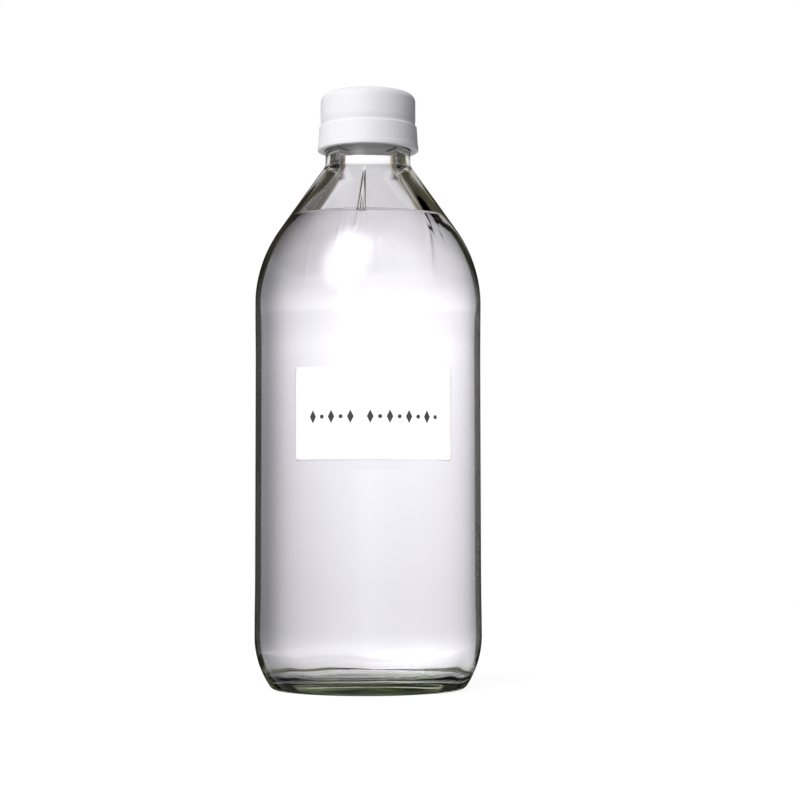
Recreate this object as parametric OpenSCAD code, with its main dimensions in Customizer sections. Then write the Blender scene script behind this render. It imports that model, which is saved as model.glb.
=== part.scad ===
// A round clear glass bottle of white vinegar with a white screw cap and a paper label.
// The origin is the centre of the ring that the bottle stands on, +Z up. The label faces -Y.

/* [Bottle outside] */
// Largest diameter of the bottle
body_d = 72; // [64:0.5:84]
// Height of the glass, from the standing ring to the lip
glass_h = 187.8; // [170:0.1:220]
// Height at which the heel curve runs out into the straight wall
heel_h = 17.2; // [15:0.1:21]
// Radius of the big heel curve
heel_r = 29.3; // [26:0.1:34]
// Radius of the small curve down to the standing ring
foot_r = 2.7; // [1.5:0.1:4]
// Width of the flat ring that the bottle stands on
stand_w = 1.4; // [0.8:0.1:2.5]
// Radius of the shoulder curve
shoulder_r = 41.5; // [36:0.5:46]
// Steepness of the cone above the shoulder, from the upright
cone_angle = 35; // [30:0.5:40]
// How far the label panel is set back from the two contact bands
panel_setback = 0.2; // [0.1:0.05:0.5]
// Height of each of the two contact bands
band_h = 7; // [4:0.5:10]
// How far above and below its end a contact band slopes back to the panel
band_fade = 4; // [1:0.5:4]

/* [Neck] */
// Diameter of the threaded neck at the root of its thread
neck_d = 25; // [22:0.1:30]
// Thickness of the neck's wall
neck_wall = 3; // [2.4:0.1:3.6]
// Height of the threaded neck, from the plain ring to the lip
finish_h = 15; // [13:0.1:18]
// How far the plain ring of glass under the cap stands out of the neck
ring_out = 1.1; // [0.6:0.1:1.2]
// Height of this ring that shows below the cap
ring_show = 3.15; // [2:0.05:6]
// How far this ring reaches up inside the cap's skirt
ring_cover = 1.2; // [0.5:0.1:2]
// Radius of the fillet between the ring and the cone
ring_fillet = 5; // [2:0.5:7]
// Radius of the rounded lip
lip_r = 0.9; // [0.5:0.1:1.1]

/* [Thread] */
// How far the glass thread stands out of the neck
thread_out = 1.1; // [0.8:0.05:1.3]
// Rise of a thread in one turn
thread_pitch = 4.2; // [3.6:0.1:5]
// Turns of the glass thread
glass_turns = 1.25; // [1:0.05:1.5]
// Turns of the cap's thread
cap_turns = 1; // [0.8:0.05:1.25]
// Width of a thread at its crest
thread_crest = 0.9; // [0.6:0.1:1.1]
// Clearance between the cap's bore and the crest of the glass thread
thread_clear = 0.4; // [0.25:0.05:0.5]
// Clearance between the cap's thread and the neck
crest_clear = 0.5; // [0.3:0.05:0.6]

/* [Glass inside] */
// Thickness of the side wall
wall = 2.5; // [1.8:0.1:3]
// Thickness that the wall of the cone grows to where it meets the neck
cone_root_t = 4; // [3:0.1:4.5]
// Radius of the curve inside, where the cone meets the bore
bore_curve = 6; // [3:0.5:8]
// Thickness of the glass floor, above the standing ring
floor_t = 5; // [4:0.1:7]
// Radius of the curve inside, where the wall meets the floor
floor_r = 10; // [6:0.5:14]
// Depth of the push-up under the base
punt_h = 2.4; // [1:0.1:3]
// How far the floor inside rises to its middle
floor_rise = 2; // [1:0.1:3]

/* [Vinegar] */
// How far the vinegar's surface lies below the lip
headspace = 38.8; // [30:0.1:60]
// Gap between the vinegar's solid and the glass
wet_gap = 0.05; // [0.02:0.01:0.1]

/* [Cap] */
// Thickness of the cap's wall above the step
cap_wall = 1.25; // [1:0.05:2]
// Thickness of the cap's top
cap_top_t = 1.4; // [1.2:0.1:2.5]
// Thickness of the seal moulded under the top, which closes on the lip
cap_seal_t = 0.8; // [0.5:0.1:1.2]
// Radius of the cap's rounded top edge
cap_edge_r = 2.6; // [1:0.1:3.5]
// Height of the step over the cap's lower edge
cap_step_h = 7.8; // [6:0.1:9]
// How far the skirt stands out below the step
cap_step = 0.45; // [0.2:0.05:0.8]
// How far the skirt flares out again on its way down
cap_flare = 0.35; // [0.1:0.05:0.8]
// Height of the bead round the cap's lower edge
cap_bead_h = 1.5; // [1:0.1:2.5]
// How far this bead stands out
cap_bead = 0.12; // [0.05:0.01:0.3]

/* [Label] */
// Height of the label
label_h = 28.4; // [20:0.1:40]
// Width of the label, measured round the glass
label_w = 52; // [35:0.5:70]
// Distance from the upper end of the panel down to the label
label_drop = 15.2; // [4:0.1:25]
// Thickness of the paper
label_t = 0.12; // [0.08:0.01:0.15]
// Thickness of the glue behind the paper
glue_t = 0.03; // [0.02:0.01:0.05]

/* [Hidden] */

round_fn = 96;      // facets round the bottle wherever a mesh is made
arc_step = 6;       // degrees between the points of a curved outline
dome_steps = 8;     // points along a shallow dome
thread_step = 12;   // degrees between the sections of a thread
run_out = 36;       // degrees over which a thread grows out of its wall
root_sink = 0.4;    // how far a thread is rooted in its wall
thread_flank = 0.5; // extra half width of a thread at its root

// Radii of the body and the neck.
body_r = body_d / 2;
panel_r = body_r - panel_setback;
in_r = body_r - wall;
neck_r = neck_d / 2;
bore_r = neck_r - neck_wall;
ring_r = neck_r + ring_out;

// Heel outside: the big curve's centre, and the small curve's centre that touches it and the ground.
heel_c = [body_r - heel_r, heel_h];
foot_c = [heel_c[0] + sqrt(pow(heel_r - foot_r, 2) - pow(heel_h - foot_r, 2)), foot_r];
foot_a = atan2(foot_r - heel_h, foot_c[0] - heel_c[0]);

// Neck and shoulder, from the lip down: ring, fillet, the cone it runs into, and the shoulder curve.
ring_top = glass_h - finish_h;
fillet_c = [ring_r + ring_fillet, ring_top - ring_cover - ring_show];
shoulder_top_r = body_r - shoulder_r * (1 - cos(cone_angle));
shoulder_z = cone_z(shoulder_top_r) - shoulder_r * sin(cone_angle);
shoulder_c = [body_r - shoulder_r, shoulder_z];

// Cavity: the floor's corner, and the cone inside. Its line runs from the shoulder, where it touches
// the curve, to the corner it would make with the bore, and a curve rounds that corner.
floor_c = [in_r - floor_r, floor_t + floor_r];
in_shoulder_r = shoulder_r - wall;
corner_z = cone_z(bore_r) - cone_root_t / sin(cone_angle);
corner_way = [bore_r, corner_z] - shoulder_c;
in_cone_angle = atan2(corner_way[1], corner_way[0]) - acos(in_shoulder_r / norm(corner_way));
bore_c = [bore_r + bore_curve, corner_z + bore_curve * tan(in_cone_angle / 2)];

// Panel between the two contact bands, and the vinegar's level.
panel_low = heel_h + band_h;
panel_high = shoulder_z - band_h;
fill_z = glass_h - headspace;

// Cap: it sits with its seal on the lip, and its bore clears the crest of the glass thread.
cap_bore_r = neck_r + thread_out + thread_clear;
cap_r = cap_bore_r + cap_wall;
cap_roof = glass_h + cap_seal_t;
cap_top = cap_roof + cap_top_t;
cap_z = ring_top - ring_cover;

// Threads: the glass thread is centred on the neck, and the cap's lies half a turn above it.
thread_z = ring_top + (finish_h - lip_r - glass_turns * thread_pitch) / 2;
cap_thread_z = thread_z + thread_pitch / 2;
cap_thread_in = cap_bore_r - neck_r - crest_clear;

function on_circle(c, r, a) = [c[0] + r * cos(a), c[1] + r * sin(a)];

// Points on a curve of radius r round c, from angle a to angle b, both ends included.
function curve(c, r, a, b) =
    let (n = max(1, ceil(abs(b - a) / arc_step)))
    [for (i = [0:n]) on_circle(c, r, a + (b - a) * i / n)];

// Height of the cone's outer line at radius r. The line touches the fillet under the ring.
function cone_z(r) =
    fillet_c[1] - ring_fillet / sin(cone_angle) + (fillet_c[0] - r) / tan(cone_angle);

// A shallow dome over a disc of radius r that stands at height z, from the axis outward.
function dome(r, rise, z) =
    [for (i = [0:dome_steps]) [r * i / dome_steps, z + rise * (1 - pow(i / dome_steps, 2))]];

// Outer line of the glass, from the middle of its underside to the lip.
function outer_line() = concat(
    dome(foot_c[0] - stand_w, punt_h, 0),
    curve(foot_c, foot_r, -90, foot_a),
    curve(heel_c, heel_r, foot_a + arc_step / 2, 0),
    [[body_r, panel_low - band_fade], [panel_r, panel_low + band_fade],
     [panel_r, panel_high - band_fade], [body_r, panel_high + band_fade]],
    curve(shoulder_c, shoulder_r, 0, cone_angle),
    curve(fillet_c, ring_fillet, 180 + cone_angle, 180),
    [[ring_r, ring_top], [neck_r, ring_top + ring_out]],
    curve([neck_r - lip_r, glass_h - lip_r], lip_r, 0, 90));

// Line of the cavity, kept a gap away from the glass, from the middle of its floor to the bore.
function cavity_line(gap) = concat(
    dome(floor_c[0], floor_rise, floor_t + gap),
    curve(floor_c, floor_r - gap, -90, 0),
    curve(shoulder_c, in_shoulder_r - gap, 0, in_cone_angle),
    curve(bore_c, bore_curve + gap, 180 + in_cone_angle, 180));

function reversed(list) = [for (i = [len(list) - 1:-1:0]) list[i]];

// One section of a thread at angle a: a trapezium rooted in the wall, its crest at radius tip.
function thread_section(a, z, root, tip) =
    let (half_crest = thread_crest / 2, half_root = half_crest + thread_flank)
    [[root * cos(a), root * sin(a), z - half_root],
     [tip * cos(a), tip * sin(a), z - half_crest],
     [tip * cos(a), tip * sin(a), z + half_crest],
     [root * cos(a), root * sin(a), z + half_root]];

// A helical thread on a wall, standing out of it (depth over 0) or into the bore (depth under 0).
// Its crest grows out of the wall at both ends.
module thread(wall_r, depth, turns, z0) {
    sweep = turns * 360;
    n = ceil(sweep / thread_step);
    way = sign(depth);
    sections = [for (i = [0:n])
        let (a = sweep * i / n,
             grown = min(1, a / run_out, (sweep - a) / run_out),
             tip = wall_r + depth * grown - way * root_sink / 2 * (1 - grown))
        thread_section(a, z0 + thread_pitch * a / 360, wall_r - way * root_sink, tip)];
    sides = [for (i = [0:n - 1], k = [0:3])
        let (p = 4 * i + k, q = 4 * i + (k + 1) % 4)
        each [[p, q, q + 4], [p, q + 4, p + 4]]];
    last = 4 * n;
    ends = [[3, 2, 1], [3, 1, 0], [last, last + 1, last + 2], [last, last + 2, last + 3]];
    faces = concat(sides, ends);
    polyhedron([for (s = sections, p = s) p], way > 0 ? faces : [for (f = faces) reversed(f)]);
}

// Hollow bottle: one turned wall from the push-up to the rounded lip, and the raised thread.
module glass() {
    color([0.86, 0.9, 0.88, 0.35])
    union() {
        rotate_extrude($fn = round_fn) polygon(concat(
            outer_line(),
            curve([bore_r + lip_r, glass_h - lip_r], lip_r, 90, 180),
            reversed(cavity_line(0))));
        thread(neck_r, thread_out, glass_turns, thread_z);
    }
}

// Vinegar: the cavity up to the level of the surface.
module vinegar() {
    color([0.97, 0.96, 0.9, 0.5])
    rotate_extrude($fn = round_fn) intersection() {
        polygon(concat(cavity_line(wet_gap), [[0, bore_c[1]]]));
        square([body_r, fill_z]);
    }
}

// Screw cap: rounded top, step, flared skirt and lower bead, with its seal and its thread inside.
module cap() {
    skirt_r = cap_r + cap_step;
    hem_r = skirt_r + cap_flare;
    color([0.95, 0.95, 0.95])
    union() {
        rotate_extrude($fn = round_fn) polygon(concat(
            [[0, glass_h], [neck_r, glass_h], [neck_r, cap_roof], [cap_bore_r, cap_roof],
             [cap_bore_r, cap_z], [hem_r + cap_bead, cap_z], [hem_r + cap_bead, cap_z + cap_bead_h],
             [hem_r, cap_z + cap_bead_h + cap_bead],
             [skirt_r, cap_z + cap_step_h], [cap_r, cap_z + cap_step_h + cap_step]],
            curve([cap_r - cap_edge_r, cap_top - cap_edge_r], cap_edge_r, 0, 90),
            [[0, cap_top]]));
        thread(cap_bore_r, -cap_thread_in, cap_turns, cap_thread_z);
    }
}

// Paper label wrapped round the front of the panel.
module label() {
    glued_r = panel_r + glue_t;
    span = label_w / glued_r * 180 / PI;
    color([0.99, 0.99, 0.98])
    translate([0, 0, panel_high - label_drop - label_h])
    rotate([0, 0, -90 - span / 2])
    rotate_extrude(angle = span, $fn = round_fn)
    translate([glued_r, 0]) square([label_t, label_h]);
}

glass();
vinegar();
cap();
label();
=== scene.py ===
"""A round clear glass bottle of white vinegar with a white screw cap and a paper label.

Every piece is a surface turned about the bottle's axis: an outline in radius and height, worked out
as numpy arrays, is carried round the axis, and small departures from the true round are added as
functions of angle and height. All sizes are in metres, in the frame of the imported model.
"""
import math

import bpy
import numpy as np
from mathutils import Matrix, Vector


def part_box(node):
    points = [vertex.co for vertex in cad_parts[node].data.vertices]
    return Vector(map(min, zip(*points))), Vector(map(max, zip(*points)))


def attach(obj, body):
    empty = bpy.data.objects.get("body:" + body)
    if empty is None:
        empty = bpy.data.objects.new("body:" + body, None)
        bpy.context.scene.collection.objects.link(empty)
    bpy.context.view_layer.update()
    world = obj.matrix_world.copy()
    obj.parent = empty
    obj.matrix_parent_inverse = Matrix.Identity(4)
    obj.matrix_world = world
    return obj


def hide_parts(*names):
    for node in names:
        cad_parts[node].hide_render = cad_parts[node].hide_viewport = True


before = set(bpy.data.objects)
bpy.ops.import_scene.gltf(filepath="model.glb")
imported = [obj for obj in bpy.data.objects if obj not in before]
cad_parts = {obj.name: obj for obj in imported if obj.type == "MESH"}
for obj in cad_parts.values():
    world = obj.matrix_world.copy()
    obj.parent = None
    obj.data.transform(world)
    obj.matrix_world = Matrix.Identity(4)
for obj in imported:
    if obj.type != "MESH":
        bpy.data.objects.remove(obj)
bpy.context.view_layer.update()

MM = 0.001


# ---------------------------------------------------------------- sizes from the frame

GLASS_HIGH = np.array(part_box("glass")[1])
VINEGAR_HIGH = np.array(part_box("vinegar")[1])
CAP_LOW, CAP_HIGH = (np.array(corner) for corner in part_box("cap"))
LABEL_LOW, LABEL_HIGH = (np.array(corner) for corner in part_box("label"))

BODY_R = GLASS_HIGH[0]
LIP_Z = GLASS_HIGH[2]
FILL_Z = VINEGAR_HIGH[2]
CAP_Z = CAP_LOW[2]
CAP_TOP = CAP_HIGH[2]

# ---------------------------------------------------------------- the maker's own sizes

HEEL_R = 29.3 * MM          # big curve of the heel
HEEL_Z = 17.2 * MM          # where it runs out into the straight wall
FOOT_R = 2.7 * MM           # small curve down to the standing ring
STAND_W = 1.4 * MM          # width of the standing ring
PUNT_H = 2.4 * MM           # push-up under the base
BAND_H = 7 * MM             # contact bands above the heel and below the shoulder
BAND_FADE = 12 * MM         # half the height over which a band falls back to the panel
SETBACK = 0.2 * MM          # label panel behind the contact bands
SHOULDER_R = 41.5 * MM
CONE_DEG = 35               # cone above the shoulder, from the upright
CONE = math.radians(CONE_DEG)
WALL = BODY_R - VINEGAR_HIGH[0] - 0.05 * MM
FLOOR_T = 5 * MM
FLOOR_R = 10 * MM           # inside curve between wall and floor
FLOOR_RISE = 2 * MM
CONE_ROOT_T = 4 * MM        # thickness that the cone's wall grows to at the neck
BORE_CURVE = 6 * MM         # curve inside, between the cone and the bore
NECK_R = 12.5 * MM          # threaded neck at the root of its thread
NECK_WALL = 3 * MM
RING_OUT = 1.1 * MM         # plain ring under the cap, out from the neck
RING_TOP = LIP_Z - 15 * MM
RING_FILLET = 5 * MM
LIP_R = 0.9 * MM
SETTLE_R = 26 * MM          # body's radius about where the settle lines run
THREAD_OUT = 1.1 * MM
THREAD_PITCH = 4.2 * MM
THREAD_TURNS = 1.25
THREAD_CLEAR = 0.4 * MM
RIDGE_HALF = 0.95 * MM      # half the width of the thread's ridge, and the slope of its sides
RIDGE_SLOPE = 0.5 * MM
SEAM_OUT = 0.07 * MM        # the mould's parting line
SEAM_HALF = 0.35 * MM
WAVES_FROM = 12 * MM        # radius where the cavity's waves start, and are full twice as far out
THREAD_LOW = RING_TOP + (LIP_Z - LIP_R - RING_TOP - THREAD_TURNS * THREAD_PITCH) / 2
CAP_WALL = 1.25 * MM
CAP_SEAL_T = 0.8 * MM
CAP_EDGE_R = 2.6 * MM
STEP_H = 7.8 * MM           # cap's step over its lower edge
STEP_OUT = 0.45 * MM
FLARE = 0.35 * MM
BEAD_H = 1.5 * MM
PAPER_W = 52 * MM           # label, and the row of marks printed on it
PAPER_H = 28.4 * MM
MARK_PITCH = 3.0 * MM
MARKS = 14                  # places in the row; one of them stays empty
MARK_LEFT_OUT = 5
ROW_START = 5.0 * MM
ROW_UP = 13.2 * MM
LOZENGE = (1.05 * MM, 2.1 * MM)             # half its width and half its height
DOT_R = 0.65 * MM
PAPER_THIN = 0.25           # part of the light that the paper lets through
PAPER_CORNER = 0.8 * MM
GLUE = 0.03 * MM            # between the glass and the paper
BEAD_OUT = CAP_HIGH[0] - (NECK_R + THREAD_OUT + THREAD_CLEAR + CAP_WALL + STEP_OUT + FLARE)

PANEL_R = BODY_R - SETBACK
IN_R = BODY_R - WALL
BORE_R = NECK_R - NECK_WALL
RING_R = NECK_R + RING_OUT
FILLET_AT = np.array([RING_R + RING_FILLET, CAP_Z - 3.15 * MM])


def cone_z(radius):
    """Height of the cone's outer line: it touches the fillet under the ring and falls outward."""
    touch = FILLET_AT[1] - RING_FILLET / math.sin(CONE)
    return touch + (FILLET_AT[0] - radius) / math.tan(CONE)


SHOULDER_Z = cone_z(BODY_R - SHOULDER_R * (1 - math.cos(CONE))) - SHOULDER_R * math.sin(CONE)
SHOULDER_AT = np.array([BODY_R - SHOULDER_R, SHOULDER_Z])
PANEL_LOW = HEEL_Z + BAND_H
PANEL_HIGH = SHOULDER_Z - BAND_H
IN_SHOULDER_R = SHOULDER_R - WALL
# The cone's inner line starts CONE_ROOT_T inside the outer one at the bore and falls to where it
# touches the shoulder's inner curve, IN_CONE round that curve. CORNER_WAY runs from the curve's
# middle to the line's start.
CORNER_WAY = np.array([BORE_R, cone_z(BORE_R) - CONE_ROOT_T / math.sin(CONE)]) - SHOULDER_AT
IN_CONE = (math.atan2(CORNER_WAY[1], CORNER_WAY[0])
           - math.acos(IN_SHOULDER_R / np.linalg.norm(CORNER_WAY)))
BORE_AT = SHOULDER_AT + CORNER_WAY + BORE_CURVE * np.array([1, math.tan(IN_CONE / 2)])


# ---------------------------------------------------------------- outlines

def curve(centre, radius, start, end, steps):
    """Points on a circle: centre + radius (cos a, sin a), for a from start to end in degrees."""
    a = np.radians(np.linspace(start, end, steps + 1))
    return np.column_stack([centre[0] + radius * np.cos(a), centre[1] + radius * np.sin(a)])


def straight(*corners, gap=0.6 * MM):
    """Straight lines through the corners, with a point about every gap."""
    corners = np.array(corners, float)
    runs = [corners[:1]]
    for p, q in zip(corners[:-1], corners[1:]):
        n = max(1, int(round(np.linalg.norm(q - p) / gap)))
        runs.append(p + (q - p) * (np.arange(1, n + 1) / n)[:, None])
    return np.vstack(runs)


def dome(radius, rise, z, steps):
    """A shallow dome: z + rise (1 - (r / radius)^2), from the axis outward."""
    r = radius * np.linspace(0, 1, steps + 1)
    return np.column_stack([r, z + rise * (1 - (r / radius) ** 2)])


def joined(*runs):
    """Outline runs put end to end, leaving out points closer than a hundredth of a millimetre."""
    line = np.vstack(runs)
    keep = np.append(True, np.linalg.norm(np.diff(line, axis=0), axis=1) > 0.01 * MM)
    return line[keep]


# ---------------------------------------------------------------- turned meshes

TURN_STEPS = 180
CAP_STEPS = 192


def smooth_step(x):
    """0 below 0, 1 above 1, and 3 x^2 - 2 x^3 between."""
    x = np.clip(x, 0, 1)
    return x * x * (3 - 2 * x)


def even_angles(steps=TURN_STEPS):
    return np.linspace(0, 2 * np.pi, steps, endpoint=False)


def turned(name, outline, offset=None, a=even_angles()):
    """Closed mesh from an outline that starts and ends on the axis, carried round it.

    Each inner point becomes a ring over the angles a: (r cos a, r sin a, z), where r is the
    outline's radius plus offset(a, z, r). The two ends are single points, so both poles are closed.
    """
    rings = outline[1:-1]
    steps = len(a)
    r = np.repeat(rings[:, :1], steps, axis=1)
    z = np.repeat(rings[:, 1:], steps, axis=1)
    a = np.repeat(a[None, :], len(rings), axis=0)
    if offset is not None:
        r = r + offset(a, z, r)
    points = np.column_stack([(r * np.cos(a)).ravel(), (r * np.sin(a)).ravel(), z.ravel()])
    points = np.vstack([points, [0, 0, outline[0, 1]], [0, 0, outline[-1, 1]]])
    first, last = len(points) - 2, len(points) - 1
    i = np.arange(len(rings) - 1)[:, None] * steps
    j = np.arange(steps)[None, :]
    k = (j + 1) % steps
    quads = np.stack([i + j, i + k, i + steps + k, i + steps + j], axis=-1).reshape(-1, 4)
    j, k = j.ravel(), k.ravel()
    top = (len(rings) - 1) * steps
    start_fan = np.column_stack([np.full(steps, first), k, j])
    end_fan = np.column_stack([np.full(steps, last), top + j, top + k])
    return mesh_piece(name, points, [quads, start_fan, end_fan])


def mesh_piece(name, points, face_sets):
    """Object at the origin with these points, and faces given as arrays of one size each."""
    mesh = bpy.data.meshes.new(name)
    loops = np.concatenate([faces.ravel() for faces in face_sets]).astype(np.int32)
    sizes = np.concatenate([np.full(len(faces), faces.shape[1]) for faces in face_sets])
    starts = np.concatenate([[0], np.cumsum(sizes)[:-1]]).astype(np.int32)
    mesh.vertices.add(len(points))
    mesh.vertices.foreach_set("co", np.asarray(points, np.float32).ravel())
    mesh.loops.add(len(loops))
    mesh.loops.foreach_set("vertex_index", loops)
    mesh.polygons.add(len(sizes))
    mesh.polygons.foreach_set("loop_start", starts)
    mesh.update(calc_edges=True)
    mesh.validate()
    mesh.shade_smooth()
    piece = bpy.data.objects.new(name, mesh)
    bpy.context.scene.collection.objects.link(piece)
    return piece


def thread(a, z, low, turns, depth, root_r, r):
    """Helical ridge: depth times a rounded bump across the helix z = low + pitch a / 2 pi.

    It fades in and out over a tenth of a turn, and counts only where the outline is at the root.
    """
    out = np.zeros_like(z)
    for lap in range(int(math.ceil(turns))):
        along = a / (2 * np.pi) + lap
        ends = smooth_step(along / 0.1) * smooth_step((turns - along) / 0.1)
        across = np.abs(z - low - THREAD_PITCH * along)
        out = np.maximum(out, ends * smooth_step((RIDGE_HALF - across) / RIDGE_SLOPE))
    return depth * out * (np.abs(r - root_r) < 0.02 * MM)


# ---------------------------------------------------------------- glass

# Settle lines of the blown glass on its outside, over the shoulder and the cone: degrees round at
# the lower end and at the upper end, then lower end, upper end, half width and height in mm.
SETTLE_LINES = (
    (-100.6, -97.4, 141, 164, 0.55, 0.48), (-95.6, -97.4, 145, 164, 0.50, 0.42),
    (-92.4, -92.0, 129, 158, 0.45, 0.07), (-86.6, -86.4, 127, 143, 0.40, 0.10),
    (-126.5, -125.5, 121, 145, 0.45, 0.07), (-46.5, -47.5, 121, 145, 0.60, 0.03),
    (-53.5, -61.0, 148, 164, 0.60, 0.05), (-112.0, -109.5, 128, 150, 0.60, 0.05),
    (22.0, 24.0, 126, 150, 0.50, 0.08), (68.0, 70.5, 130, 162, 0.40, 0.12),
    (96.0, 93.0, 124, 146, 0.50, 0.08), (158.0, 156.0, 132, 158, 0.45, 0.10))
LINE_FADE = 4                       # mm over which a line starts and ends
CLOSE_FROM, CLOSE_TO = 1.4, 1.41    # degrees before and past a line that have closer angles
CLOSE_STEP = 0.42
CLOSEST = 0.12                      # smallest step between two angles, in degrees


def settle_lines(a, z):
    """Narrow ridges: height exp(-(d / width)^2) across each line, d being the way round to it at
    the body's radius there, faded in and out at the line's ends."""
    out = np.zeros_like(a)
    for low_deg, high_deg, low, high, width, height in SETTLE_LINES:
        t = np.clip((z / MM - low) / (high - low), 0, 1)
        d = (a - np.radians(low_deg + (high_deg - low_deg) * t) + np.pi) % (2 * np.pi) - np.pi
        ends = (smooth_step((z / MM - low) / LINE_FADE)
                * smooth_step((high - z / MM) / LINE_FADE))
        out += height * ends * np.exp(-(d * SETTLE_R / (width * MM)) ** 2)
    return MM * out


def glass_angles():
    """Even angles, with closer ones packed where a settle line runs."""
    close = [np.arange(min(line[:2]) - CLOSE_FROM, max(line[:2]) + CLOSE_TO, CLOSE_STEP)
             for line in SETTLE_LINES]
    a = np.unique(np.round(np.concatenate([np.degrees(even_angles())] + close) % 360, 4))
    keep = np.append(True, np.diff(a) > CLOSEST)
    return np.radians(a[keep])


def wall_waves(a, z):
    """How the inside of a blown wall wanders: a few slow waves round the bottle, stronger over the
    shoulder, and an uneven corner round the floor, as sums of cosines."""
    body = (0.05 * np.cos(2 * a + 0.7) + 0.04 * np.cos(3 * a - 38 * z + 1.9)
            + 0.03 * np.cos(5 * a + 61 * z))
    high = smooth_step((z - SHOULDER_Z) / (25 * MM))
    high = high * (1 - smooth_step((z - BORE_AT[1] + 10 * MM) / (8 * MM)))
    folds = 0.10 * np.cos(7 * a + 90 * z) + 0.07 * np.cos(13 * a - 140 * z + 1.0)
    low = 1 - smooth_step((z - 7 * MM) / (9 * MM))
    corner = (0.35 * np.cos(2 * a + 2.2) + 0.30 * np.cos(5 * a + 0.4) + 0.20 * np.cos(9 * a + 1.7)
              + 0.08 * np.cos(16 * a - 0.6))
    return MM * (body + high * folds + low * corner)


def inner_waves(a, z, r):
    """Wall waves of the cavity, faded out toward the floor's middle and the bore."""
    return wall_waves(a, z) * smooth_step((r - WAVES_FROM) / WAVES_FROM)


def seam(a):
    """The mould's parting line on two opposite sides: a narrow soft ridge."""
    d = np.abs((a + np.pi / 2) % np.pi - np.pi / 2)
    return SEAM_OUT * np.exp(-(d * BODY_R / SEAM_HALF) ** 2)


def inner_line(gap):
    """Outline of the cavity from the middle of its floor to the bore, drawn in by gap."""
    floor_at = np.array([IN_R - FLOOR_R, FLOOR_T + FLOOR_R])
    out_of_cone = np.array([math.cos(IN_CONE), math.sin(IN_CONE)])
    return joined(
        dome(floor_at[0], FLOOR_RISE, FLOOR_T + gap, 14),
        curve(floor_at, FLOOR_R - gap, -90, 0, 16),
        straight([IN_R - gap, floor_at[1]], [IN_R - gap, SHOULDER_Z], gap=4 * MM),
        curve(SHOULDER_AT, IN_SHOULDER_R - gap, 0, math.degrees(IN_CONE), 22),
        straight(SHOULDER_AT + (IN_SHOULDER_R - gap) * out_of_cone,
                 BORE_AT - (BORE_CURVE + gap) * out_of_cone, gap=1 * MM),
        curve(BORE_AT, BORE_CURVE + gap, 180 + math.degrees(IN_CONE), 180, 10))


def glass_outline():
    """Outside from the push-up to the lip, over the rounded lip and down inside to the floor."""
    heel_at = np.array([BODY_R - HEEL_R, HEEL_Z])
    foot_out = math.sqrt((HEEL_R - FOOT_R) ** 2 - (HEEL_Z - FOOT_R) ** 2)
    foot_at = np.array([heel_at[0] + foot_out, FOOT_R])
    foot_end = math.degrees(math.atan2(FOOT_R - HEEL_Z, foot_at[0] - heel_at[0]))
    outside = joined(
        dome(foot_at[0] - STAND_W, PUNT_H, 0, 10),
        curve(foot_at, FOOT_R, -90, foot_end, 12),
        curve(heel_at, HEEL_R, foot_end, 0, 16),
        straight([BODY_R, HEEL_Z], [BODY_R, SHOULDER_Z], gap=3 * MM),
        curve(SHOULDER_AT, SHOULDER_R, 0, CONE_DEG, 24))
    outside[:, 0] -= SETBACK * (smooth_step((outside[:, 1] - PANEL_LOW) / (2 * BAND_FADE) + 0.5)
                                * smooth_step((PANEL_HIGH - outside[:, 1]) / (2 * BAND_FADE) + 0.5))
    out_of_cone = np.array([math.cos(CONE), math.sin(CONE)])
    neck = joined(
        straight(SHOULDER_AT + SHOULDER_R * out_of_cone, FILLET_AT - RING_FILLET * out_of_cone,
                 gap=1 * MM),
        curve(FILLET_AT, RING_FILLET, 180 + CONE_DEG, 180, 10),
        straight([RING_R, FILLET_AT[1]], [RING_R, RING_TOP], [NECK_R, RING_TOP + RING_OUT],
                 gap=0.5 * MM),
        straight([NECK_R, RING_TOP + RING_OUT], [NECK_R, LIP_Z - LIP_R], gap=0.4 * MM),
        curve([NECK_R - LIP_R, LIP_Z - LIP_R], LIP_R, 0, 90, 8),
        curve([BORE_R + LIP_R, LIP_Z - LIP_R], LIP_R, 90, 180, 8))
    inside = inner_line(0)[::-1]
    return joined(outside, neck), inside


def glass_bottle():
    """The glass turned from its whole outline: parting line, settle lines and thread on the outside,
    which stays inside the body's radius, and slow waves on the inside."""
    outside, inside = glass_outline()
    outline = joined(outside, inside)
    turn = len(outside)
    rings = np.arange(1, len(outline) - 1)[:, None]

    def offset(a, z, r):
        outer = rings < turn
        plain = smooth_step((z - 2 * MM) / (4 * MM)) * smooth_step((RING_TOP - z) / (4 * MM))
        outer_part = seam(a) * plain + settle_lines(a, z) + thread(
            a, z, THREAD_LOW, THREAD_TURNS, THREAD_OUT, NECK_R, r)
        outer_part = np.where(r + outer_part > BODY_R, BODY_R - r, outer_part)
        return np.where(outer, outer_part, inner_waves(a, z, r))

    return turned("glass_bottle", outline, offset, glass_angles())


# ---------------------------------------------------------------- vinegar

WET_IN = 0.12 * MM          # how far the vinegar reaches into the glass, so that no air shows
CREEP = 1.5 * MM            # how far its edge climbs the wall
CREEP_FADE = 1.6 * MM


def vinegar():
    """The cavity up to the surface, whose edge climbs the wall as CREEP exp(-d / CREEP_FADE)."""
    wall = inner_line(-WET_IN)
    wall = wall[wall[:, 1] < FILL_Z - 0.3 * MM]
    edge_r = wall[-1, 0] - (FILL_Z - wall[-1, 1]) * math.tan(IN_CONE)
    d = edge_r * (1 - np.cos(np.linspace(0, np.pi / 2, 60)))
    level = FILL_Z - CREEP
    surface = np.column_stack([edge_r - d, level + CREEP * np.exp(-d / CREEP_FADE)])
    surface[-1, 0] = 0
    return turned("vinegar_fill", joined(wall, surface), inner_waves)


# ---------------------------------------------------------------- cap

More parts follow.
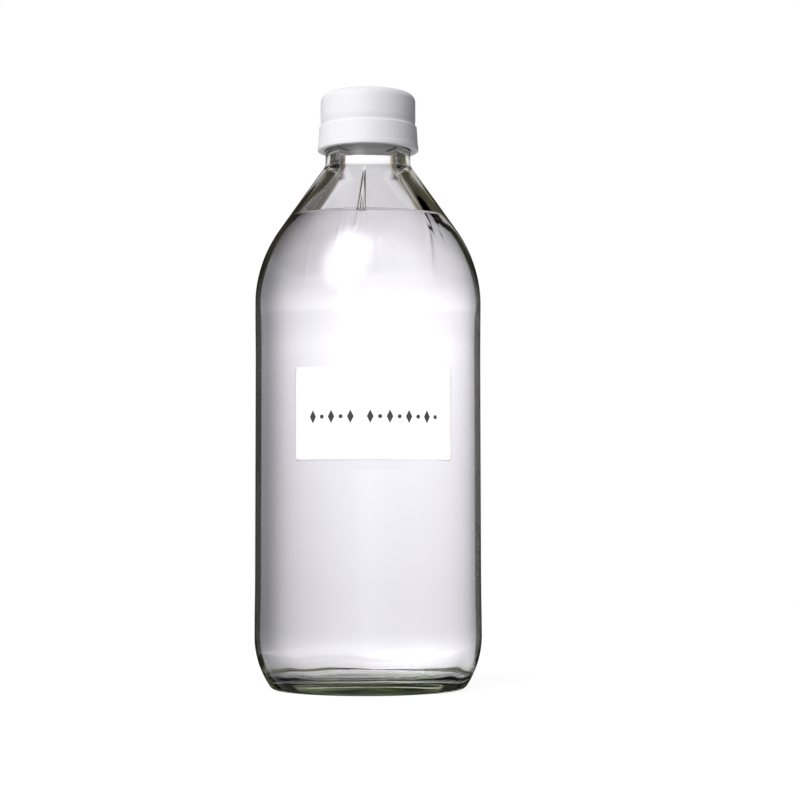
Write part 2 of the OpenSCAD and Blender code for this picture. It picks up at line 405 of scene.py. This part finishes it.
def screw_cap():
    """The cap turned from its outline, which runs from the seal on the lip down the bore, round the
    lower edge and up the skirt and the step to the roof. Its thread is a ridge on the bore, half a
    pitch above the glass's."""
    bore = NECK_R + THREAD_OUT + THREAD_CLEAR
    side = bore + CAP_WALL
    skirt = side + STEP_OUT
    hem = skirt + FLARE
    roof = LIP_Z + CAP_SEAL_T
    step_z = CAP_Z + STEP_H
    soft = 0.22 * MM        # curve of the lower edges
    step_r = 0.35 * MM
    groove = 0.12 * MM      # shallow groove over the step
    relief = 0.5 * MM       # how far the cap's thread stays off the neck
    outline = joined(
        straight([0, LIP_Z], [NECK_R, LIP_Z], gap=1 * MM),
        straight([NECK_R, LIP_Z], [NECK_R, roof], [bore, roof], gap=0.4 * MM),
        straight([bore, roof], [bore, CAP_Z + soft], gap=0.2 * MM),
        curve([bore + soft, CAP_Z + soft], soft, 180, 270, 4),
        straight([bore + soft, CAP_Z], [hem + BEAD_OUT - soft, CAP_Z], gap=0.4 * MM),
        curve([hem + BEAD_OUT - soft, CAP_Z + soft], soft, -90, 0, 5),
        straight([hem + BEAD_OUT, CAP_Z + soft], [hem + BEAD_OUT, CAP_Z + BEAD_H - 0.1 * MM],
                 [hem + BEAD_OUT / 2, CAP_Z + BEAD_H + 0.05 * MM],
                 [hem, CAP_Z + BEAD_H + 0.2 * MM], gap=0.3 * MM),
        straight([hem, CAP_Z + BEAD_H + 0.2 * MM], [skirt, step_z - step_r], gap=0.5 * MM),
        curve([skirt - step_r, step_z - step_r], step_r, 0, 70, 6),
        straight([side + 0.12 * MM, step_z + 0.04 * MM], [side + 0.02 * MM, step_z + 0.12 * MM],
                 [side - groove, step_z + 0.5 * MM], gap=0.1 * MM),
        straight([side - groove, step_z + 0.5 * MM], [side - groove, step_z + 1.0 * MM],
                 [side, step_z + 2.2 * MM], [side, CAP_TOP - CAP_EDGE_R], gap=0.4 * MM),
        curve([side - CAP_EDGE_R, CAP_TOP - CAP_EDGE_R], CAP_EDGE_R, 0, 90, 16),
        straight([side - CAP_EDGE_R, CAP_TOP], [0, CAP_TOP], gap=1 * MM))

    def offset(a, z, r):
        return -thread(a, z, THREAD_LOW + THREAD_PITCH / 2, 1, bore - NECK_R - relief, bore, r)

    return turned("screw_cap", outline, offset, even_angles(CAP_STEPS))


# ---------------------------------------------------------------- label

def paper_label():
    """A sheet bent round the glass: (r sin b, -r cos b, z) over the angle b and the height z, with
    its corners cut by a small radius, an inner and an outer face, and a rim that joins them. The
    attribute "printed" is 1 on the outer face and 0 on the glued one."""
    inner = PANEL_R + GLUE
    outer = -LABEL_LOW[1]
    half = math.asin(min(1, LABEL_HIGH[0] / outer))
    across, up = 96, 40
    u = np.linspace(-1, 1, across + 1)
    v = np.linspace(0, 1, up + 1)
    height = LABEL_HIGH[2] - LABEL_LOW[2]
    near_side = (half * outer * (1 - np.abs(u))) / PAPER_CORNER
    cut = PAPER_CORNER * (1 - np.sqrt(1 - (1 - np.clip(near_side, 0, 1)) ** 2))
    b = np.repeat((half * u)[None, :], up + 1, axis=0)
    z = LABEL_LOW[2] + cut[None, :] + v[:, None] * (height - 2 * cut[None, :])
    shells = []
    for r in (outer, inner):
        shells.append(np.column_stack(
            [(r * np.sin(b)).ravel(), (-r * np.cos(b)).ravel(), z.ravel()]))
    points = np.vstack(shells)
    n = (up + 1) * (across + 1)
    i = np.arange(up)[:, None] * (across + 1)
    j = np.arange(across)[None, :]
    front = np.stack([i + j, i + j + 1, i + j + across + 2, i + j + across + 1], axis=-1)
    front = front.reshape(-1, 4)
    faces = [front, front[:, ::-1] + n]
    grid = np.arange(n).reshape(up + 1, across + 1)
    rim = np.concatenate([grid[0, :], grid[1:, -1], grid[-1, -2::-1], grid[-2:0:-1, 0]])
    nxt = np.roll(rim, -1)
    faces.append(np.column_stack([rim, rim + n, nxt + n, nxt]))
    piece = mesh_piece("paper_label", points, faces)
    layer = piece.data.uv_layers.new(name="sheet")
    uv = np.column_stack([(b.ravel() / half + 1) / 2, (z.ravel() - LABEL_LOW[2]) / height])
    uv = np.vstack([uv, uv])
    index = np.empty(len(piece.data.loops), np.int32)
    piece.data.loops.foreach_get("vertex_index", index)
    layer.data.foreach_set("uv", uv[index].astype(np.float32).ravel())
    printed = piece.data.attributes.new("printed", "FLOAT", "POINT")
    printed.data.foreach_set("value", np.repeat([1, 0], n).astype(np.float32))
    return piece


# ---------------------------------------------------------------- materials

def linear(hex_colour, alpha=1):
    """sRGB hex to linear RGBA."""
    c = [int(hex_colour[i:i + 2], 16) / 255 for i in (1, 3, 5)]
    return tuple(x / 12.92 if x <= 0.04045 else ((x + 0.055) / 1.055) ** 2.4 for x in c) + (alpha,)


def add(tree, kind, settings=None, inputs=None, links=None):
    """Adds a node, sets its properties and sockets, and links other sockets into it."""
    node = tree.nodes.new(kind)
    for key, value in (settings or {}).items():
        setattr(node, key, value)
    for key, value in (inputs or {}).items():
        node.inputs[key].default_value = value
    for key, socket in (links or {}).items():
        tree.links.new(socket, node.inputs[key])
    return node


def set_ramp(ramp, stops):
    """Gives a colour ramp these (place, colour) stops."""
    points = ramp.color_ramp.elements
    while len(points) < len(stops):
        points.new(0.5)
    for point, (place, colour) in zip(points, stops):
        point.position = place
        point.color = tuple(colour) + (1,)


def new_material(name):
    material = bpy.data.materials.new(name)
    material.use_nodes = True
    material.node_tree.nodes.clear()
    return material, material.node_tree


def fire_polished_flint_glass():
    """Soda-lime flint glass, blown in an iron mould and fire polished. The eye gets sharp reflections
    with a slow orange-peel wander, 9 mm across, and a trace of green where the glass is thick."""
    material, tree = new_material("flint_glass_fire_polished")
    place = add(tree, "ShaderNodeTexCoord").outputs["Object"]
    orange_peel = add(tree, "ShaderNodeTexNoise", inputs={"Scale": 1 / (9 * MM), "Detail": 2.0,
                      "Roughness": 0.5}, links={"Vector": place})
    bump = add(tree, "ShaderNodeBump", inputs={"Strength": 0.25, "Distance": 0.06 * MM},
               links={"Height": orange_peel.outputs["Fac"]})
    shader = add(tree, "ShaderNodeBsdfPrincipled", inputs={
        "Base Color": (1, 1, 1, 1), "Roughness": 0.0, "IOR": 1.52, "Transmission Weight": 1.0},
        links={"Normal": bump.outputs["Normal"]})
    tint = add(tree, "ShaderNodeVolumeAbsorption",
               inputs={"Color": (0.55, 0.66, 0.25, 1), "Density": 13.0})
    add(tree, "ShaderNodeOutputMaterial",
        links={"Surface": shader.outputs[0], "Volume": tint.outputs[0]})
    return material


def white_vinegar():
    """Distilled white vinegar, filtered bright. The eye gets no colour at all, only the bending of
    what lies behind it, as with water."""
    material, tree = new_material("distilled_white_vinegar")
    shader = add(tree, "ShaderNodeBsdfPrincipled", inputs={
        "Base Color": (1, 1, 1, 1), "Roughness": 0.0, "IOR": 1.335, "Transmission Weight": 1.0})
    add(tree, "ShaderNodeOutputMaterial", links={"Surface": shader.outputs[0]})
    return material


def moulded_polypropylene():
    """White polypropylene, injection moulded in a satin tool. The eye gets a broad dim sheen, soft
    edges where light comes through the plastic, and a fine grain drawn at 0.5 mm."""
    material, tree = new_material("white_polypropylene_moulded")
    place = add(tree, "ShaderNodeTexCoord").outputs["Object"]
    grain = add(tree, "ShaderNodeTexNoise", inputs={"Scale": 1 / (0.5 * MM), "Detail": 3.0},
                links={"Vector": place})
    bump = add(tree, "ShaderNodeBump", inputs={"Strength": 0.3, "Distance": 0.02 * MM},
               links={"Height": grain.outputs["Fac"]})
    shader = add(tree, "ShaderNodeBsdfPrincipled", inputs={
        "Base Color": linear("#ededed"), "Roughness": 0.6, "IOR": 1.49, "Specular IOR Level": 0.35,
        "Subsurface Weight": 0.5, "Subsurface Scale": 1.6 * MM, "Subsurface Radius": (1.0, 1.0, 1.0)},
        links={"Normal": bump.outputs["Normal"]})
    add(tree, "ShaderNodeOutputMaterial", links={"Surface": shader.outputs[0]})
    return material


def uncoated_paper():
    """Uncoated wood-free label paper, offset printed with one dark grey row of lozenges and dots on
    its outer face. The eye gets a matt white that is very slightly cloudy, with a faint tooth of
    fibres, and flat ink. A part of the light, PAPER_THIN, goes through."""
    material, tree = new_material("label_paper_uncoated_printed")
    sheet_place = add(tree, "ShaderNodeUVMap", {"uv_map": "sheet"})
    size = add(tree, "ShaderNodeVectorMath", {"operation": "MULTIPLY"}, {1: (PAPER_W, PAPER_H, 0)},
               {0: sheet_place.outputs[0]})
    at = add(tree, "ShaderNodeSeparateXYZ", links={0: size.outputs[0]})
    # Along the row: which mark it is, and how far from its middle, both in steps of one pitch.
    step = add(tree, "ShaderNodeMath", {"operation": "MULTIPLY_ADD"},
               {1: 1 / MARK_PITCH, 2: -ROW_START / MARK_PITCH}, {0: at.outputs["X"]})
    number = add(tree, "ShaderNodeMath", {"operation": "FLOOR"}, links={0: step.outputs[0]})
    part = add(tree, "ShaderNodeMath", {"operation": "FRACT"}, links={0: step.outputs[0]})
    side = add(tree, "ShaderNodeMath", {"operation": "MULTIPLY_ADD"},
               {1: MARK_PITCH, 2: -MARK_PITCH / 2}, {0: part.outputs[0]})
    up = add(tree, "ShaderNodeMath", {"operation": "SUBTRACT"}, {1: ROW_UP}, {0: at.outputs["Y"]})
    away = add(tree, "ShaderNodeCombineXYZ", links={0: side.outputs[0], 1: up.outputs[0]})
    # Lozenge: |x| / half width + |y| / half height under 1. Dot: distance under its radius.
    folded = add(tree, "ShaderNodeVectorMath", {"operation": "ABSOLUTE"},
                 links={0: away.outputs[0]})
    lozenge = add(tree, "ShaderNodeVectorMath", {"operation": "DOT_PRODUCT"},
                  {1: (1 / LOZENGE[0], 1 / LOZENGE[1], 0)}, {0: folded.outputs[0]})
    round_out = add(tree, "ShaderNodeVectorMath", {"operation": "LENGTH"},
                    links={0: away.outputs[0]})
    dot = add(tree, "ShaderNodeMath", {"operation": "DIVIDE"}, {1: DOT_R},
              {0: round_out.outputs["Value"]})
    odd = add(tree, "ShaderNodeMath", {"operation": "MODULO"}, {1: 2.0}, {0: number.outputs[0]})
    either = add(tree, "ShaderNodeMix", {"data_type": "FLOAT"},
                 links={"Factor": odd.outputs[0], 2: lozenge.outputs["Value"], 3: dot.outputs[0]})
    inked = add(tree, "ShaderNodeMapRange", {"interpolation_type": "SMOOTHSTEP"},
                {1: 1.06, 2: 0.94, 3: 0.0, 4: 1.0}, {0: either.outputs[0]})
    middle = add(tree, "ShaderNodeMath", {"operation": "SUBTRACT"}, {1: MARKS / 2},
                 {0: step.outputs[0]})
    reach = add(tree, "ShaderNodeMath", {"operation": "ABSOLUTE"}, links={0: middle.outputs[0]})
    inside = add(tree, "ShaderNodeMath", {"operation": "LESS_THAN"}, {1: MARKS / 2},
                 {0: reach.outputs[0]})
    gap = add(tree, "ShaderNodeMath", {"operation": "COMPARE"}, {1: MARK_LEFT_OUT, 2: 0.5},
              {0: number.outputs[0]})
    shown = add(tree, "ShaderNodeMath", {"operation": "SUBTRACT"},
                links={0: inside.outputs[0], 1: gap.outputs[0]})
    marks = add(tree, "ShaderNodeMath", {"operation": "MULTIPLY"},
                links={0: inked.outputs[0], 1: shown.outputs[0]})
    face = add(tree, "ShaderNodeAttribute", {"attribute_name": "printed"})
    ink = add(tree, "ShaderNodeMath", {"operation": "MULTIPLY"},
              links={0: marks.outputs[0], 1: face.outputs["Fac"]})
    # Clouds of the paper's formation, about 4 mm, and fibres drawn 0.35 mm wide, which is coarser
    # than real ones.
    place = add(tree, "ShaderNodeTexCoord")
    clouds = add(tree, "ShaderNodeTexNoise", inputs={"Scale": 1 / (4 * MM), "Detail": 3.0},
                 links={"Vector": place.outputs["Object"]})
    fibres = add(tree, "ShaderNodeTexNoise",
                 inputs={"Scale": 1 / (0.35 * MM), "Detail": 4.0, "Distortion": 1.5},
                 links={"Vector": place.outputs["Object"]})
    paper = add(tree, "ShaderNodeMix", {"data_type": "RGBA"},
                {6: linear("#fbfaf8"), 7: linear("#ffffff")}, {"Factor": clouds.outputs["Fac"]})
    printed = add(tree, "ShaderNodeMix", {"data_type": "RGBA"}, {7: linear("#3b3b3c")},
                  {"Factor": ink.outputs[0], 6: paper.outputs[2]})
    tooth = add(tree, "ShaderNodeBump", inputs={"Strength": 0.25, "Distance": 0.03 * MM},
                links={"Height": fibres.outputs["Fac"]})
    shader = add(tree, "ShaderNodeBsdfPrincipled", inputs={"Roughness": 0.85, "IOR": 1.45},
                 links={"Base Color": printed.outputs[2], "Normal": tooth.outputs["Normal"]})
    through = add(tree, "ShaderNodeBsdfTranslucent", links={"Color": printed.outputs[2]})
    sheet_of_paper = add(tree, "ShaderNodeMixShader", inputs={0: PAPER_THIN},
                         links={1: shader.outputs[0], 2: through.outputs[0]})
    add(tree, "ShaderNodeOutputMaterial", links={"Surface": sheet_of_paper.outputs[0]})
    return material


# ---------------------------------------------------------------- the object

bottle = glass_bottle()
drink = vinegar()
closure = screw_cap()
paper = paper_label()

for piece, node, slot, material in (
        (bottle, "glass", "clear_glass", fire_polished_flint_glass()),
        (drink, "vinegar", "white_vinegar", white_vinegar()),
        (closure, "cap", "white_plastic", moulded_polypropylene()),
        (paper, "label", "label_paper", uncoated_paper())):
    piece.data.materials.append(material)
    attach(piece, "root")
    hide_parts(node)


# ---------------------------------------------------------------- studio

TURN = math.radians(-3.36)  # how far the camera stands to the left of the label's middle
AHEAD = np.array([-math.sin(TURN), math.cos(TURN), 0])      # from the camera to the bottle
RIGHT = np.array([math.cos(TURN), math.sin(TURN), 0])
UP = np.array([0, 0, 1.0])
FLOOR_GLOW = 0.90           # the table top's own glow, which only the camera sees
FLOOR_HALF = 0.45
FLOOR_LOW = 0.0002          # how far the table top lies below z = 0
# Painted shade: a dark glowing sheet low behind the bottle, seen only through the glass
EDGE_BEHIND = 0.040
EDGE_TOP = 0.0048
EDGE_HALF = 0.06            # half the width of the painted-shade sheet for the table's shaded edge
PATCH = 6 * MM              # size of the edge's patches
PATCH_FROM, PATCH_TO = 0.45, 0.60           # noise values where a patch starts and is full
PATCH_DARK = (0.008, 0.009, 0.004, 1)
PATCH_PALE = (0.14, 0.155, 0.09, 1)
BOARD_BEHIND = 0.060
BOARD_W = 0.0785
BOARD_LOW = -0.10
BOARD_H = 0.36
BOARD_SOFT = 0.003          # width over which a board's edge grows from clear to dark
BOARD_DARK = (0.02, 0.022, 0.014, 1)        # the boards' own colour below TAN_Z
GAP_HALF = 0.0135
GAP_WIDER = 0.0095          # how much wider the gap is above WIDE_Z, on each side
WIDE_Z, WIDE_SOFT = 0.125, 0.006
TAN_Z, TAN_SOFT = 0.150, 0.01
# Colours of the boards' warm edges by the distance from the edge in metres.
LEFT_EDGE = [
    (0.000, (0.40, 0.34, 0.27)), (0.005, (0.22, 0.19, 0.15)), (0.010, (0.08, 0.07, 0.055)),
    (0.060, (0.055, 0.05, 0.04))]
RIGHT_EDGE = [
    (0.000, (0.56, 0.51, 0.37)), (0.006, (0.36, 0.32, 0.21)), (0.011, (0.085, 0.077, 0.05)),
    (0.060, (0.055, 0.06, 0.038))]
ROOM_POWER = 1.3
ROOM_DULL = 0.22            # part of the room's light that dull surfaces get
CEILING = 0.6
CEILING_FROM, CEILING_TO = 0.7, 0.95        # sines of the heights where it starts and is full
FRONT_FROM, FRONT_TO = -0.15, -0.65         # the same for the front room, along Y
VEIL = 1.3                  # brightest light of the front room's upper part
# Light of the room by degrees to the right of straight ahead.
ROOM_LIGHT = [
    (-180, 0.6), (-145, 0.55), (-120, 0.6), (-90, 0.7), (-72, 0.3), (-60, 0.1), (-50, 0.24),
    (-44, 0.41), (-38, 0.62), (-32, 0.75), (-24, 0.86), (-13, 0.92), (0, 0.88), (9, 0.8),
    (17, 0.68), (25, 0.51), (31, 0.37), (40, 0.22), (48, 0.12), (55, 0.08), (75, 0.08),
    (100, 0.12), (125, 0.12), (145, 0.22), (180, 0.6)]
# What that is multiplied by, and the front room's upper light, by degrees above the horizon.
ROOM_RISE = [
    (-90, 0.5), (-50, 0.5), (-22, 0.64), (-10, 0.8), (-2, 0.85), (1.35, 0.96), (5.8, 1.2), (8, 0.9),
    (9.5, 0.86), (11.5, 0.9), (12.8, 0.67), (16.0, 0.67), (17.5, 0.8), (20, 0.75), (24, 0.14),
    (32, 0.04), (60, 0.04)]
ROOM_FRONT = [(8, 0.0), (22, 0.9), (40, 1.3), (60, 1.3), (70, 0.0)]
AIM_Z = 0.13                # height that the softboxes point at
SOFTBOX_FLAT = 0.02         # middle part of a softbox that is evenly bright


def sheet(name, centre, across, up, material):
    """Flat sheet: centre + s across + t up for s and t from -1 to 1, with s and t as its UV."""
    centre, across, up = (np.array(v, float) for v in (centre, across, up))
    corners = np.array([centre - across - up, centre + across - up,
                        centre + across + up, centre - across + up])
    piece = mesh_piece(name, corners, [np.array([[0, 1, 2, 3]])])
    layer = piece.data.uv_layers.new(name="sheet")
    layer.data.foreach_set("uv", np.array([0, 0, 1, 0, 1, 1, 0, 1], np.float32))
    piece.data.materials.append(material)
    return piece


def pale_floor():
    """White table top. Its own glow, which only the camera sees, keeps it white, so that nothing but
    a soft contact shadow shows; glass and gloss see the room's own light below the horizon."""
    material, tree = new_material("white_table_top")
    path = add(tree, "ShaderNodeLightPath")
    glow = add(tree, "ShaderNodeMath", {"operation": "MULTIPLY"}, {1: FLOOR_GLOW},
               {0: path.outputs["Is Camera Ray"]})
    shader = add(tree, "ShaderNodeBsdfPrincipled", inputs={
        "Base Color": linear("#8c8c8c"), "Roughness": 0.8, "Emission Color": (1, 1, 1, 1)},
        links={"Emission Strength": glow.outputs[0]})
    add(tree, "ShaderNodeOutputMaterial", links={"Surface": shader.outputs[0]})
    floor = sheet("floor", (0, 0, -FLOOR_LOW), (FLOOR_HALF, 0, 0), (0, FLOOR_HALF, 0), material)
    floor.visible_glossy = floor.visible_transmission = False


def painted_shade_table_edge():
    """Painted shade: a dark glowing sheet low behind the bottle stands for the table's shaded far
    edge, in uneven olive patches about 6 mm across. Only glass and gloss see it: it is what shows
    through the thick base."""
    material, tree = new_material("painted_shade_table_edge")
    place = add(tree, "ShaderNodeTexCoord")
    patches = add(tree, "ShaderNodeTexNoise", inputs={"Scale": 1 / PATCH, "Detail": 2.0},
                  links={"Vector": place.outputs["Object"]})
    amount = add(tree, "ShaderNodeMapRange", {"interpolation_type": "SMOOTHSTEP"},
                 {1: PATCH_FROM, 2: PATCH_TO, 3: 0.0, 4: 1.0}, {0: patches.outputs["Fac"]})
    colour = add(tree, "ShaderNodeMix", {"data_type": "RGBA"},
                 {6: PATCH_DARK, 7: PATCH_PALE}, {"Factor": amount.outputs[0]})
    # painted shade: the patches glow dark in place of the shade under and behind the bottle
    dark = add(tree, "ShaderNodeEmission", links={"Color": colour.outputs[2]})
    add(tree, "ShaderNodeOutputMaterial", links={"Surface": dark.outputs[0]})
    middle = AHEAD * EDGE_BEHIND + UP * (EDGE_TOP + BOARD_LOW) / 2
    edge = sheet("painted_shade_table_edge", middle, RIGHT * EDGE_HALF, UP * (EDGE_TOP - BOARD_LOW) / 2, material)
    edge.visible_camera = edge.visible_shadow = edge.visible_diffuse = False


def dark_board(name, side, warm_edge):
    """Dark board close behind the bottle, to the left (side -1) or right (side 1) of a lit gap. Only
    glass and gloss see it. It grows from clear to dark over the soft edge beside the gap. The gap is
    wider above WIDE_Z, and above TAN_Z the board's edge is a warm brown."""
    material, tree = new_material("dark_board")
    on_board = add(tree, "ShaderNodeUVMap", {"uv_map": "sheet"})
    place = add(tree, "ShaderNodeSeparateXYZ", links={0: on_board.outputs[0]})
    high = add(tree, "ShaderNodeMapRange", {"interpolation_type": "SMOOTHSTEP"},
               {1: (TAN_Z - BOARD_LOW) / BOARD_H, 2: (TAN_Z + TAN_SOFT - BOARD_LOW) / BOARD_H,
                3: 0.0, 4: 1.0}, {0: place.outputs["Y"]})
    wide = add(tree, "ShaderNodeMapRange", {"interpolation_type": "SMOOTHSTEP"},
               {1: (WIDE_Z - BOARD_LOW) / BOARD_H, 2: (WIDE_Z + WIDE_SOFT - BOARD_LOW) / BOARD_H,
                3: 0.0, 4: 1.0}, {0: place.outputs["Y"]})
    inner = add(tree, "ShaderNodeMath", {"operation": "MULTIPLY_ADD"}, {1: -GAP_WIDER / BOARD_W},
                {0: wide.outputs[0], 2: place.outputs["X"]})
    edge = add(tree, "ShaderNodeMapRange", {"interpolation_type": "SMOOTHSTEP"},
               {1: 0.0, 2: BOARD_SOFT / BOARD_W, 3: 0.0, 4: 1.0}, {0: inner.outputs[0]})
    brown = add(tree, "ShaderNodeValToRGB", links={0: inner.outputs[0]})
    set_ramp(brown, [(at / BOARD_W, colour) for at, colour in warm_edge])
    shown = add(tree, "ShaderNodeMix", {"data_type": "RGBA"}, {6: BOARD_DARK},
                {"Factor": high.outputs[0], 7: brown.outputs[0]})
    dark = add(tree, "ShaderNodeEmission", links={"Color": shown.outputs[2]})
    clear = add(tree, "ShaderNodeBsdfTransparent")
    mix = add(tree, "ShaderNodeMixShader",
              links={0: edge.outputs[0], 1: clear.outputs[0], 2: dark.outputs[0]})
    add(tree, "ShaderNodeOutputMaterial", links={"Surface": mix.outputs[0]})
    centre = (AHEAD * BOARD_BEHIND + RIGHT * side * (GAP_HALF + BOARD_W / 2)
              + UP * (BOARD_LOW + BOARD_H / 2))
    board = sheet(name, centre, RIGHT * side * BOARD_W / 2, UP * BOARD_H / 2, material)
    board.visible_camera = board.visible_shadow = board.visible_diffuse = False


def studio_world():
    """The room as light: white where the camera looks past the bottle. Every other ray sees a wide lit
    backdrop that fades toward both sides, and a ceiling; dull surfaces get only part of it."""
    world = bpy.data.worlds.new("studio")
    bpy.context.scene.world = world
    world.use_nodes = True
    tree = world.node_tree
    tree.nodes.clear()
    path = add(tree, "ShaderNodeLightPath")
    seen = add(tree, "ShaderNodeTexCoord")
    way = add(tree, "ShaderNodeSeparateXYZ", links={0: seen.outputs["Generated"]})
    side = add(tree, "ShaderNodeMath", {"operation": "ARCTAN2"},
               links={0: way.outputs["X"], 1: way.outputs["Y"]})
    turn = add(tree, "ShaderNodeMath", {"operation": "MULTIPLY_ADD"},
               {1: 1 / (2 * math.pi), 2: 0.5 + TURN / (2 * math.pi)}, {0: side.outputs[0]})
    wrap = add(tree, "ShaderNodeMath", {"operation": "FRACT"}, links={0: turn.outputs[0]})
    round_room = add(tree, "ShaderNodeValToRGB", links={0: wrap.outputs[0]})
    set_ramp(round_room, [(0.5 + degrees / 360, (light,) * 3) for degrees, light in ROOM_LIGHT])
    height = add(tree, "ShaderNodeMapRange", inputs={1: -1.0, 2: 1.0}, links={0: way.outputs["Z"]})
    front = add(tree, "ShaderNodeMapRange", {"interpolation_type": "SMOOTHSTEP"},
                {1: FRONT_FROM, 2: FRONT_TO, 3: 0.0, 4: 1.0}, {0: way.outputs["Y"]})
    veil = add(tree, "ShaderNodeValToRGB", links={0: height.outputs[0]})
    set_ramp(veil, [(0.5 + math.sin(math.radians(degrees)) / 2, (light / VEIL,) * 3)
                    for degrees, light in ROOM_FRONT])
    upper = add(tree, "ShaderNodeMath", {"operation": "MULTIPLY"},
                links={0: front.outputs[0], 1: veil.outputs[0]})
    rise = add(tree, "ShaderNodeValToRGB", links={0: height.outputs[0]})
    set_ramp(rise, [(0.5 + math.sin(math.radians(degrees)) / 2, (light,) * 3)
                    for degrees, light in ROOM_RISE])
    walls = add(tree, "ShaderNodeMath", {"operation": "MULTIPLY"},
                links={0: round_room.outputs[0], 1: rise.outputs[0]})
    ceiling = add(tree, "ShaderNodeMapRange", {"interpolation_type": "SMOOTHSTEP"},
                  {1: CEILING_FROM, 2: CEILING_TO, 3: 0.0, 4: CEILING}, {0: way.outputs["Z"]})
    behind = add(tree, "ShaderNodeMath", {"operation": "ADD"},
                 links={0: walls.outputs[0], 1: ceiling.outputs[0]})
    light = add(tree, "ShaderNodeMath", {"operation": "MULTIPLY_ADD"}, {1: VEIL},
                {0: upper.outputs[0], 2: behind.outputs[0]})
    power = add(tree, "ShaderNodeMapRange", inputs={3: ROOM_POWER, 4: ROOM_POWER * ROOM_DULL},
                links={0: path.outputs["Is Diffuse Ray"]})
    strength = add(tree, "ShaderNodeMath", {"operation": "MULTIPLY"},
                   links={0: light.outputs[0], 1: power.outputs[0]})
    room = add(tree, "ShaderNodeBackground", inputs={"Color": linear("#f8f5ff")},
               links={1: strength.outputs[0]})
    plain = add(tree, "ShaderNodeBackground", inputs={"Color": (1, 1, 1, 1), "Strength": 1.0})
    both = add(tree, "ShaderNodeMixShader",
               links={0: path.outputs["Is Camera Ray"], 1: room.outputs[0], 2: plain.outputs[0]})
    add(tree, "ShaderNodeOutputWorld", links={"Surface": both.outputs[0]})


def softbox(name, side, height, far, half, light, only=None, seen=True):
    """Oval light round the point side degrees to the right of the camera and height degrees up. It is
    brightest in its middle and falls to nothing at its rim, as 3 s^2 - 2 s^3 of the way in, and its
    sheet is clear, so that its corners hide nothing. Where only is given, it lights and is shaded by
    that piece alone."""
    material, tree = new_material("softbox_" + name)
    place = add(tree, "ShaderNodeUVMap", {"uv_map": "sheet"})
    centred = add(tree, "ShaderNodeVectorMath", {"operation": "SUBTRACT"}, {1: (0.5, 0.5, 0)},
                  {0: place.outputs[0]})
    out = add(tree, "ShaderNodeVectorMath", {"operation": "LENGTH"}, links={0: centred.outputs[0]})
    glow = add(tree, "ShaderNodeMapRange", {"interpolation_type": "SMOOTHSTEP"},
               {1: 0.5, 2: SOFTBOX_FLAT / 2, 3: 0.0, 4: light}, {0: out.outputs["Value"]})
    lit = add(tree, "ShaderNodeEmission", links={"Strength": glow.outputs[0]})
    clear = add(tree, "ShaderNodeBsdfTransparent")
    both = add(tree, "ShaderNodeAddShader", links={0: lit.outputs[0], 1: clear.outputs[0]})
    add(tree, "ShaderNodeOutputMaterial", links={"Surface": both.outputs[0]})
    side, height = math.radians(side), math.radians(height)
    level = RIGHT * math.sin(side) - AHEAD * math.cos(side)
    across = np.cross(UP, level)
    way = math.cos(height) * level + UP * math.sin(height)
    box = sheet(name, UP * AIM_Z + far * way, across * half[0], np.cross(way, across) * half[1],
                material)
    box.visible_camera = False
    box.visible_glossy = box.visible_transmission = seen
    if only is not None:
        group = bpy.data.collections.new(name + "_lights")
        group.objects.link(only)
        box.light_linking.receiver_collection = group
        box.light_linking.blocker_collection = group


pale_floor()
painted_shade_table_edge()
dark_board("board_left", -1, LEFT_EDGE)
dark_board("board_right", 1, RIGHT_EDGE)
studio_world()
softbox("key", -28, 38, 0.9, (0.50, 0.66), 5.7)
softbox("side_fill", -80, 10, 1.0, (0.45, 0.45), 3.0, seen=False)
softbox("label_fill", 25, 10, 1.0, (0.4, 0.4), 24.0, only=paper, seen=False)
softbox("back_fill", 180, 15, 1.0, (0.35, 0.35), 6.0, only=closure, seen=False)
softbox("cap_underside", -35, -72, 0.6, (0.3, 0.3), 9.0, only=closure, seen=False)

# ---------------------------------------------------------------- camera

DISTANCE = 0.650
EYE_Z = 0.0505
YAW = math.radians(0.889)
PITCH = math.radians(3.61)
ROLL = math.radians(0.094)
SENSOR_W, LENS = 36, 91.8       # in mm
NEAREST = 0.01

camera_data = bpy.data.cameras.new("camera")
camera = bpy.data.objects.new("camera", camera_data)
scene = bpy.context.scene
scene.collection.objects.link(camera)
scene.camera = camera
camera_data.sensor_width = SENSOR_W
camera_data.lens = LENS
camera_data.clip_start = NEAREST
camera.location = (DISTANCE * math.sin(TURN), -DISTANCE * math.cos(TURN), EYE_Z)
camera.rotation_euler = (math.pi / 2 + PITCH, ROLL, TURN - YAW)
scene.view_settings.view_transform = "Standard"
